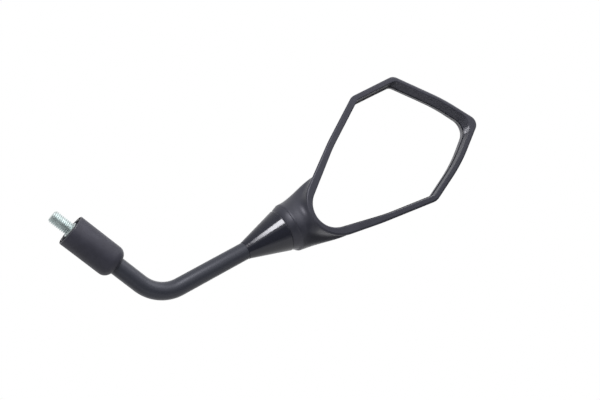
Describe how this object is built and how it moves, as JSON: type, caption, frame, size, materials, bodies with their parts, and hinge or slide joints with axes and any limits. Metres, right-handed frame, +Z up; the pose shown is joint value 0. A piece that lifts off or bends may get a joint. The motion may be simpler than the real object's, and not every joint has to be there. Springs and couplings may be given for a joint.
{
  "type": "motorcycle mirror",
  "caption": "Left-hand motorcycle mirror: convex glass in a moulded housing on a ball joint, bent rod stem, threaded stud with rubber boot.",
  "frame": {"origin": "on the stud axis at the shoulder that seats on the handlebar clamp", "axes": "+Z up along the stud, towards the stem; -Y towards the rider, whom the glass faces; -X outboard, where the head lies"},
  "size_m": [0.2908, 0.0604, 0.2314],
  "materials": {
    "zinc_steel": "bright zinc plate",
    "bright_steel": "ground",
    "spring_steel": "oiled",
    "black_paint": "satin black",
    "gloss_paint": "gloss black",
    "boot_rubber": "matt",
    "acetal": "natural",
    "housing_plastic": "fine texture",
    "plate_plastic": "as moulded",
    "foam": "closed cell foam",
    "mirror": "silvered glass"
  },
  "bodies": {
    "mount": {"mount_stud": "zinc_steel"},
    "arm": {"lock_nut": "zinc_steel", "stem": "black_paint", "base_boot": "boot_rubber", "cone_collar": "gloss_paint", "ball_stud": "bright_steel"},
    "front_liner": {"liner_front": "acetal"},
    "rear_liner": {"liner_rear": "acetal"},
    "head": {"housing": "housing_plastic", "pressure_cup": "bright_steel", "disc_spring_1": "spring_steel", "disc_spring_2": "spring_steel", "retaining_ring": "bright_steel", "backing_plate": "plate_plastic", "plate_screw_1": "zinc_steel", "plate_screw_2": "zinc_steel", "plate_screw_3": "zinc_steel", "plate_screw_4": "zinc_steel", "foam_pad": "foam", "mirror_glass": "mirror"}
  },
  "joints": [
    {"name": "arm_swivel", "type": "hinge", "parent": "mount", "child": "arm", "pos_m": [0, 0, 0], "axis": [0, 0, 1], "range_deg": [-180, 180]},
    {"name": "head_roll", "type": "hinge", "parent": "arm", "child": "front_liner", "pos_m": [-0.11228, 0, 0.13666], "axis": [-0.9026, 0, 0.4305], "range_deg": [-180, 180]},
    {"name": "head_swing", "type": "hinge", "parent": "front_liner", "child": "rear_liner", "pos_m": [-0.11228, 0, 0.13666], "axis": [0, 1, 0], "range_deg": [-12, 12]},
    {"name": "head_pan", "type": "hinge", "parent": "rear_liner", "child": "head", "pos_m": [-0.11228, 0, 0.13666], "axis": [0.4305, 0, 0.9026], "range_deg": [-12, 12]}
  ]
}
